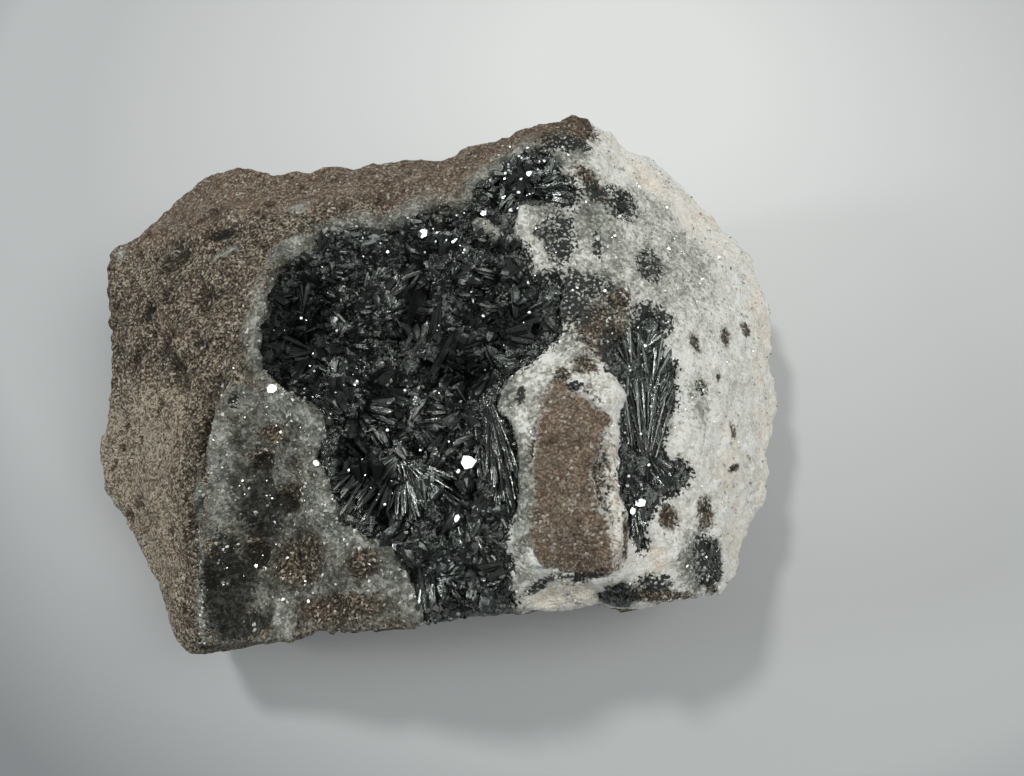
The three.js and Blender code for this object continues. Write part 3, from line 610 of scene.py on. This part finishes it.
# Sprays of long blades: root x and y, heading, spread, length, width, number, rise and sideways bend
SPRAYS = [
    (-2.3, -11.2, -95, 130, 6.0, 0.36, 90, 5, 0.0), (-4.3, -10.8, -122, 26, 6.4, 0.5, 22, 6, 0.0),
    (0.2, -13.2, -50, 18, 8.8, 0.3, 56, 0, -1.0), (3.0, -16.2, -50, 64, 5.2, 0.4, 44, 8, 0.0),
    (4.2, -7.4, -62, 46, 8.4, 0.28, 70, 4, 0.0), (6.3, -9.2, -80, 30, 7.0, 0.26, 44, 5, 0.0),
    (5.6, -6.8, -78, 26, 7.0, 0.26, 44, 5, 0.0), (-0.2, -20.2, -86, 26, 4.2, 0.6, 8, 14, 0.0),
    (0.6, -20.6, -72, 80, 3.8, 0.7, 18, 6, 0.3), (4.8, -19.4, -110, 60, 4.0, 0.7, 18, 6, 0.0),
    (-3.2, -15.6, -80, 80, 4.4, 0.8, 16, 10, 0.0), (-9.2, -4.0, -62, 90, 4.4, 0.9, 14, 14, 0.0),
    (-6.8, -6.6, -30, 60, 4.0, 0.8, 12, 16, 0.0), (0.4, 5.6, -92, 8, 5.0, 0.5, 18, 4, 0.0),
    (6.6, 15.0, 130, 70, 2.4, 0.5, 14, 25, 0.0), (2.2, 1.8, -100, 40, 5.0, 1.0, 12, 10, 0.0),
    (-7.2, 2.2, 24, 30, 4.6, 0.7, 12, 12, 0.2), (-5.6, 4.4, 36, 30, 3.6, 0.7, 10, 16, 0.0),
    (4.7, 14.6, -66, 12, 2.2, 0.8, 5, 8, 0.0), (8.6, 18.8, -40, 90, 4.6, 0.8, 22, 8, 0.5),
    (9.2, 15.6, 8, 70, 3.8, 0.7, 14, 10, 0.3), (5.6, 14.8, 106, 50, 3.4, 0.8, 10, 14, 0.0),
    (8.4, 1.0, 54, 70, 4.4, 1.1, 12, 14, 0.0), (6.0, 0.4, -20, 60, 4.0, 1.1, 10, 14, 0.0),
    (1.6, 6.6, 60, 150, 3.4, 1.3, 12, 16, 0.0), (-1.0, -7.6, -20, 70, 2.8, 0.5, 14, 14, 0.0),
    (1.8, -8.6, -100, 60, 2.6, 0.5, 14, 14, 0.0), (2.6, -6.2, 160, 60, 2.6, 0.6, 10, 14, 0.0),
    (-3.0, -8.0, 200, 60, 2.6, 0.6, 10, 14, 0.0), (-12.6, 3.4, 150, 160, 3.0, 0.5, 14, 14, 0.0),
    (-11.0, -1.6, -150, 120, 3.4, 0.8, 14, 14, 0.0), (-4.6, -4.6, -60, 100, 3.6, 1.0, 12, 16, 0.0),
]
# Small sprays at random places fill the rest. Blades whose tips stand further than this over the
# crust are left out.
FILLERS = 260
TIP_HEIGHT = 2.6
# Sooty black places in the crust, which also paint shade into its deep gaps, as ellipses
SOOT_AND_PAINTED_SHADE = [
    (-13.0, 1.0, 3.4, 6.0, 0), (-1.9, 3.6, 1.5, 3.0, 0), (-4.3, -4.5, 2.0, 2.4, 0),
    (2.5, -2.4, 3.0, 1.6, 0), (8.0, 1.0, 2.4, 2.6, 0), (-6.3, -12.2, 1.6, 2.4, 0),
    (4.2, -4.4, 1.6, 1.4, 0), (-3.8, -14.8, 1.6, 2.6, 0),
]
chance = np.random.default_rng(7)


def height_over(tree, x, y):
    """Height in millimetres of the first surface below a place, or None beside it."""
    hit = tree.ray_cast(Vector((x * MM, y * MM, 0.05)), Vector((0, 0, -1)))[0]
    return None if hit is None else hit.z / MM


def pyrolusite_finish():
    """Black crystal with a dull metallic shine; the grooves run along each blade."""
    stone = Finish("pyrolusite")
    grooves = stone.node("ShaderNodeAttribute", {}, attribute_name="groove").outputs["Vector"]
    inputs = {"Vector": grooves, "Scale": 5.0, "Detail": 3.0, "Roughness": 0.7}
    fine = stone.node("ShaderNodeTexNoise", inputs)
    stone.relief(fine.outputs["Fac"], 0.09)
    dust = stone.edge(stone.grain(1.3, 4, 0.7, 3.3), 0.45, 0.75, 0.25)
    # Sooty places are darker and rougher; over the deep gaps this darkness is painted shade.
    soot_and_painted_shade = stone.sum((stone.stored("soot_and_painted_shade"), 1.0), (stone.grain(0.9, 4, 0.7, 1.7), 0.8), -0.4)
    soot_and_painted_shade = stone.edge(soot_and_painted_shade, 0.2, 0.7)
    rough = stone.sum((dust, 0.8), (soot_and_painted_shade, 0.25), 0.16)
    colour = stone.blend(dust, (0.105, 0.115, 0.109), (0.2, 0.208, 0.198))
    colour = stone.blend(soot_and_painted_shade, colour, (0.024, 0.027, 0.026))
    return stone.set(Base_Color=colour, Metallic=0.92, Roughness=rough)


def mark_grooves(mesh, values):
    """Stores where each vertex lies along and across its crystal, and how sooty its place is, which is
    partly painted shade.
    """
    layer = mesh.attributes.new("groove", "FLOAT_VECTOR", "POINT")
    layer.data.foreach_set("vector", np.asarray(values, np.float32).ravel())
    mark(mesh, "soot_and_painted_shade", patches(points_of(mesh), SOOT_AND_PAINTED_SHADE))


def joined(name, corners, faces, grooves, finish):
    """Many like crystals as one mesh: corners has a row of points for each, faces are those of one."""
    each = corners.shape[1]
    mesh = bpy.data.meshes.new(name)
    every = [[each * k + i for i in face] for k in range(len(corners)) for face in faces]
    mesh.from_pydata((held(corners.reshape(-1, 3)) * MM).tolist(), [], every)
    mark_grooves(mesh, grooves.reshape(-1, 3))
    mesh.materials.append(finish)
    piece = bpy.data.objects.new(name, mesh)
    scene.collection.objects.link(piece)
    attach(piece, "root")
    return piece


def unit(vectors):
    """Vectors made one long."""
    return vectors / np.linalg.norm(vectors, axis=-1, keepdims=True)


# A blade's section, and the stations along it with the share of its full width at each
SECTION = np.array([(-0.5, 0), (-0.28, 0.5), (0.28, 0.5), (0.5, 0), (0.28, -0.5), (-0.28, -0.5)])
STATIONS = [(0, 0.4), (0.4, 0.8), (0.85, 1.0), (1.0, 0.62)]


def bladed(roots, along, roll, length, width, bend):
    """Blades as corner points: flat and six-sided, slender at the root, with a slanted chisel end."""
    along = unit(along)
    level = unit(np.cross(along, (0, 0, 1)))
    up = np.cross(level, along)
    c, s = np.cos(roll)[:, None], np.sin(roll)[:, None]
    across, over = c * level + s * up, c * up - s * level
    slant = chance.uniform(-0.5, 0.5, len(roots))
    corners, grooves = [], []
    shift = chance.uniform(0, 90, len(roots))
    for share, scale in STATIONS:
        for sx, sz in SECTION:
            reach_out = length * share + (slant * width * sx * 2 if share == 1.0 else 0)
            side = (bend * share**2)[:, None] * level
            wide, thick = width * sx * scale, 0.42 * width * sz * scale
            corners.append(
                roots + side + reach_out[:, None] * along + wide[:, None] * across + thick[:, None] * over
            )
            grooves.append(np.stack([wide + shift, 0.06 * length * share, thick + shift], 1))
    return np.stack(corners, 1), np.stack(grooves, 1)


SIDES = len(SECTION)
BLADE_FACES = [
    [SIDES * k + i, SIDES * k + (i + 1) % SIDES, SIDES * (k + 1) + (i + 1) % SIDES, SIDES * (k + 1) + i]
    for k in range(len(STATIONS) - 1)
    for i in range(SIDES)
]
BLADE_FACES += [list(range(SIDES)), [SIDES * (len(STATIONS) - 1) + i for i in reversed(range(SIDES))]]


def spray(bed, x, y, heading, spread, length, width, count, rise, bend, loose=3, foot=0.22):
    """The roots, directions and sizes of one spray of blades that fan out from a root on the bed."""
    base = height_over(bed, x, y)
    turn = np.radians(heading + spread * (np.linspace(-0.5, 0.5, count) + chance.normal(0, 0.04, count)))
    lift = np.radians(rise + chance.normal(0, loose, count))
    along = np.stack([np.cos(turn) * np.cos(lift), np.sin(turn) * np.cos(lift), np.sin(lift)], 1)
    roots = np.array([x, y, base + 0.1]) + chance.normal(0, foot, (count, 3)) + along * 0.3
    size = chance.uniform(0.72, 1.08, count)
    return roots, along, length * size, width * chance.uniform(0.6, 1.3, count), bend * np.ones(count)


pyrolusite = pyrolusite_finish()
crust = fine_copy("pyrolusite_crust", "crystal_crust", BED_STEP, 1)
bed_points = points_of(crust.data)
bed_out = normals_of(crust.data)
bed_rise = 0.2 * noise(bed_points, 0.8, 41) + 0.12 * np.abs(noise(bed_points, 0.45, 42)) + 0.1
for x, y, across, along, depth in VOIDS:
    reach_out = ((bed_points[:, 0] - x) / across) ** 2 + ((bed_points[:, 1] - y) / along) ** 2
    bed_points[:, 2] -= depth * np.exp(-reach_out)
place_points(crust.data, held(bed_points + bed_out * bed_rise[:, None]))
mark_grooves(crust.data, points_of(crust.data))
crust.data.materials.append(pyrolusite)
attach(crust, "root")
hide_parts("pyrolusite_crust")

bed = tree_of(crust.data)
sprays = [spray(bed, *numbers) for numbers in SPRAYS if height_over(bed, *numbers[:2]) is not None]
low_corner, high_corner = (np.array(corner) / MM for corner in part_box("pyrolusite_crust"))
while len(sprays) < len(SPRAYS) + FILLERS:
    x, y = chance.uniform(low_corner[:2] + 0.6, high_corner[:2] - 0.6)
    empty = any(((x - v[0]) / v[2]) ** 2 + ((y - v[1]) / v[3]) ** 2 < 1 for v in VOIDS)
    if empty or height_over(bed, x, y) is None:
        continue
    long, heading = chance.uniform(1.0, 2.4), chance.uniform(0, 360)
    wide, rise = chance.uniform(0.4, 1.3), chance.uniform(5, 50)
    spread, count = chance.uniform(4, 60), int(chance.integers(4, 9))
    sprays.append(spray(bed, x, y, heading, spread, long, wide, count, rise, 0, 5, 0.35))
roots, along, length, width, bend = (np.concatenate(column) for column in zip(*sprays))
# A few broad flat facets lie so that they flash: x, y and width
FLASHES = [
    (3.8, -12.2, 1.5), (2.9, -12.9, 0.5), (-1.2, 11.2, 1.1), (4.8, 13.8, 0.9), (3.0, -17.4, 0.7),
    (9.4, 17.6, 0.8), (18.6, -16.0, 1.0), (17.9, -16.7, 0.7),
]
PLATE = [(math.cos(math.radians(a)), math.sin(math.radians(a))) for a in (0, 60, 120, 180, 240, 300)]
PLATE_FACES = [[0, 1, 2, 3, 4, 5], [11, 10, 9, 8, 7, 6]]
PLATE_FACES += [[(i + 1) % 6, i, i + 6, (i + 1) % 6 + 6] for i in range(6)]


def flashes(pieces, places, tilt=0.1):
    """Flat six-sided crystals on some pieces, each turned nearly half way between lamp and camera.

    So they flash towards the scene's own camera, and hardly in other views. The broad ones lie
    truer than the small ones, which are off by tilt.
    """
    trees = [tree_of(piece.data) for piece in pieces]
    plates = []
    for x, y, wide in places:
        if height_over(trees[0], x, y) is None:
            continue
        heights = [height_over(tree, x, y) for tree in trees]
        middle = np.array([x, y, max(z for z in heights if z is not None) + 0.35 * wide])
        to_camera = unit(np.array(camera.location) / MM - middle)
        off = chance.normal(0, tilt if wide < 0.65 else 0.03, 3)
        out = unit(to_camera + unit(np.array(KEY_FROM)) + off)
        heading = chance.uniform(0, math.tau)
        across = unit(np.cross(out, (math.cos(heading), math.sin(heading), 0)))
        along = np.cross(out, across) * chance.uniform(0.6, 1.0)
        rim = [0.5 * wide * chance.uniform(0.75, 1.1) * (u * across + v * along) for u, v in PLATE]
        plates.append([middle + p for p in rim] + [middle + 0.8 * p - 0.7 * wide * out for p in rim])
    return np.array(plates)


def scattered(corner_a, corner_b, count, small, large):
    """Random places in a rectangle, each with a width."""
    x = chance.uniform(corner_a[0], corner_b[0], count)
    y = chance.uniform(corner_a[1], corner_b[1], count)
    return list(zip(x, y, small + (large - small) * chance.random(count) ** 2))


def bright_face():
    """A clean, flat crystal face of the same mineral, with a sharper shine."""
    return Finish("pyrolusite_face").set(Base_Color=(0.2, 0.215, 0.22), Metallic=0.9, Roughness=0.31)


tips = roots + length[:, None] * along
crust_tree = tree_of(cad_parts["pyrolusite_crust"].data)
over = [(height_over(crust_tree, x, y), z) for x, y, z in tips]
inside = np.array([ground is not None and z - ground < TIP_HEIGHT for ground, z in over])
roll = chance.normal(0, 0.35, len(roots))
columns = [column[inside] for column in (roots, along, roll, length, width, bend)]
corners, grooves = bladed(*columns)
blades = joined("crystal_blades", corners, BLADE_FACES, grooves, pyrolusite)
places = FLASHES + scattered(low_corner, high_corner, 220, 0.1, 0.36)
places += scattered((5, 13), (12, 21), 60, 0.12, 0.5) + scattered((-8, 6), (5, 13), 50, 0.12, 0.4)
places += scattered((-14, -16), (-2, -2), 50, 0.1, 0.36)
plates = flashes([crust, blades], places)
face = bright_face()
joined("crystal_facets", plates, PLATE_FACES, plates, face)

# Small blocky crystals of the same mineral, grown on the bed between the sprays and along the rim
# of the hollow. The deep gaps stay free of them.
GRAINS = 14000
GRAIN = np.array([(-0.5, 0, 0), (0.5, 0, 0), (0, -0.5, 0), (0, 0.5, 0), (0, 0, -0.5), (0, 0, 0.5)])
GRAIN_FACES = [(0, 2, 5), (2, 1, 5), (1, 3, 5), (3, 0, 5), (2, 0, 4), (1, 2, 4), (3, 1, 4), (0, 3, 4)]


def turned(count):
    """Random turns, one 3 by 3 matrix each."""
    w, x, y, z = unit(chance.normal(size=(count, 4))).T
    rows = [
        [1 - 2 * (y * y + z * z), 2 * (x * y - w * z), 2 * (x * z + w * y)],
        [2 * (x * y + w * z), 1 - 2 * (x * x + z * z), 2 * (y * z - w * x)],
        [2 * (x * z - w * y), 2 * (y * z + w * x), 1 - 2 * (x * x + y * y)],
    ]
    return np.array(rows).transpose(2, 0, 1)


def strewn(centres, size):
    """Small eight-sided crystals at some places, each turned its own way, of sizes in millimetres."""
    count = len(centres)
    stretch = chance.uniform(0.6, 1.3, (count, 1, 3)) * size[:, None, None]
    shapes = (GRAIN[None] + chance.uniform(-0.12, 0.12, (count, 6, 3))) * stretch
    return centres[:, None] + np.einsum("nij,nkj->nki", turned(count), shapes)


open_bed = patches(bed_points, [(*void[:4], 0) for void in VOIDS]) < 0.45
grain_spots = bed_points[chance.choice(np.flatnonzero((bed_out[:, 2] > 0.2) & open_bed), GRAINS, False)]
grain_corners = strewn(grain_spots + (0, 0, 0.1), 0.2 + 0.6 * chance.random(len(grain_spots)) ** 2)
joined("crystal_grains", grain_corners, GRAIN_FACES, grain_corners, pyrolusite)

# The band in the cleft and the two tufts at the front edge: the same mineral as bundles of fine
# fibres that fan out along the surface, with small crystals over them.
FIBRES = [
    (19.4, -11.6, 91, 34, 6.6, 0.24, 90, 2, 0.0), (18.0, -10.8, 92, 10, 6.0, 0.3, 20, 2, 0.0),
    (20.0, -8.4, 84, 50, 4.6, 0.24, 60, 3, 0.0), (21.4, -7.6, 100, 40, 3.4, 0.35, 12, 4, 0.0),
    (20.4, -4.0, 70, 60, 3.0, 0.4, 12, 10, 0.0), (18.6, -3.2, 110, 50, 3.0, 0.4, 10, 12, 0.0),
    (20.0, -11.6, -80, 70, 2.6, 0.4, 14, 12, 0.0), (17.8, -13.0, -100, 60, 2.4, 0.4, 12, 12, 0.0),
    (22.0, -13.4, -60, 90, 1.9, 0.4, 12, 12, 0.0), (18.4, -15.4, -90, 30, 3.2, 0.3, 20, 4, 0.0),
    (20.2, -1.0, 90, 120, 2.0, 0.4, 12, 16, 0.0), (16.2, -22.7, -100, 150, 0.9, 0.24, 26, 30, 0.0),
    (17.0, -22.5, -90, 150, 1.0, 0.24, 26, 30, 0.0), (17.7, -22.6, -70, 150, 0.9, 0.24, 24, 30, 0.0),
    (16.9, -23.2, 90, 160, 0.8, 0.24, 24, 35, 0.0), (25.4, -20.6, -90, 90, 1.5, 0.3, 10, 12, 0.0),
    (25.3, -19.2, 95, 90, 1.2, 0.3, 10, 14, 0.0),
]
dressed = {}
fibre_parts, speck_spots = [], []
for node, name in (
    ("pyrolusite_band", "crystal_band"),
    ("pyrolusite_front_tuft", "crystal_front_tuft"),
    ("pyrolusite_corner_tuft", "crystal_corner_tuft"),
):
    piece = fine_copy(node, name, BED_STEP, 1)
    broken_surface(piece.data, [(0.9, 0.16), (0.5, 0.1)], (0.9, 0.25), 31)
    mark_grooves(piece.data, points_of(piece.data))
    piece.data.materials.append(pyrolusite)
    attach(piece, "root")
    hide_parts(node)
    up_side = np.flatnonzero(normals_of(piece.data)[:, 2] > 0.3)
    speck_spots.append(points_of(piece.data)[chance.choice(up_side, len(up_side) // 2, False)])
    dressed[node] = piece
    piece_tree = tree_of(piece.data)
    for numbers in FIBRES:
        if height_over(piece_tree, *numbers[:2]) is not None:
            parts = spray(piece_tree, *numbers, 4, 0.3)
            tips = parts[0] + parts[2][:, None] * parts[1]
            inside = np.array([height_over(piece_tree, x, y) is not None for x, y, _ in tips])
            fibre_parts.append([column[inside] for column in parts])
roots, along, length, width, bend = (np.concatenate(column) for column in zip(*fibre_parts))
fibres = bladed(roots, along, chance.normal(0, 0.35, len(roots)), length, width, bend)
fibre_piece = joined("crystal_fibres", fibres[0], BLADE_FACES, fibres[1], pyrolusite)
places = FLASHES + scattered((15, -18), (24, 4), 120, 0.1, 0.4)
plates = flashes([dressed["pyrolusite_band"], fibre_piece], places)
joined("crystal_band_facets", plates, PLATE_FACES, plates, face)

# Specks of the same black mineral, grown in clusters on the pale vein, on the rim of the hollow and
# over the band and the tufts.
speckled = np.maximum(patches(vein_points, ZONES["black"]), by_crystals) * (1 - vein_covered)
speckled *= (normals_of(vein.data)[:, 2] > 0) * (0.6 + 0.6 * noise(vein_points, 0.9, 51))
likely = np.flatnonzero(speckled > 0.35)
speck_spots.append(vein_points[chance.choice(likely, len(likely) // 3, False)])
near_crust = np.clip(0.9 - crust_gap / 0.9, 0, 1) * facing_up(host.data)
likely = np.flatnonzero(near_crust * host_open > 0.2)
speck_spots.append(host_points[chance.choice(likely, len(likely) // 6, False)])
speck_spots = np.concatenate(speck_spots)
speck_corners = strewn(speck_spots, 0.15 + 0.45 * chance.random(len(speck_spots)) ** 2)
joined("crystal_specks", speck_corners, GRAIN_FACES, speck_corners, pyrolusite)

# Sugary quartz: small clear crystals, grown on the vein, on the soaked edge round the hollow, on the
# grey coat and here and there on the black crust. Flat ones among them are turned to flash.
def clear_grains():
    """Clear quartz, shiny, each crystal a little lighter or darker."""
    stone = Finish("quartz_grains")
    number, _ = stone.crumbs(0.5)
    stops = [(0.0, (0.2, 0.205, 0.18)), (0.6, (0.5, 0.51, 0.47)), (1.0, (0.85, 0.86, 0.82))]
    return stone.set(Base_Color=stone.tones(number, stops), Roughness=0.22, Specular_IOR_Level=0.6)


# Where the quartz lies over the black crust, as ellipses
SUGAR_ON_CRUST = [
    (-9.5, 6.0, 1.5, 1.9, 0), (5.6, -5.6, 1.2, 1.3, 0), (8.2, -4.6, 0.8, 2.2, 0),
    (-2.2, 9.0, 1.6, 0.8, 0), (-5.4, 10.4, 1.4, 0.6, 15), (9.6, -8.0, 0.6, 3.0, 0),
]
sugar_spots = []
for piece, zones in ((host, {"pale": 1.0, "coat": 0.15}), (vein, {"clear": 0.9, "pale": 0.9}), (crust, {})):
    spots = points_of(piece.data)
    share = np.full(len(spots), 0.3 if piece is vein else 0.0)
    if piece is crust:
        rim = np.minimum(gap_to("host_rock", spots), gap_to("pale_vein", spots))
        share = np.maximum(np.clip(0.8 - rim / 0.9, 0, 0.6), patches(spots, SUGAR_ON_CRUST))
    for zone, strength in zones.items():
        values = np.empty(len(spots), np.float32)
        piece.data.attributes[zone].data.foreach_get("value", values)
        share = np.maximum(share, strength * values)
    share *= (normals_of(piece.data)[:, 2] > 0.1) * (0.6 + 0.6 * noise(spots, 1.1, 52))
    sugar_spots.append(spots[chance.random(len(spots)) < 0.4 * share])
sugar_spots = np.concatenate(sugar_spots)
sugar_corners = strewn(sugar_spots, 0.12 + 0.38 * chance.random(len(sugar_spots)) ** 2)
clear_quartz = clear_grains()
joined("quartz_grains", sugar_corners, GRAIN_FACES, sugar_corners, clear_quartz)
places = [(-13.9, -5.6, 1.0), (-9.6, -12.2, 0.8)] + scattered((-20, -24), (-6, 4), 50, 0.15, 0.4)
places += scattered((6, -22), (34, 22), 150, 0.15, 0.4)
plates = np.concatenate([flashes([host], places, 0.05), flashes([vein], places, 0.05)])
joined("quartz_facets", plates, PLATE_FACES, plates, clear_quartz)
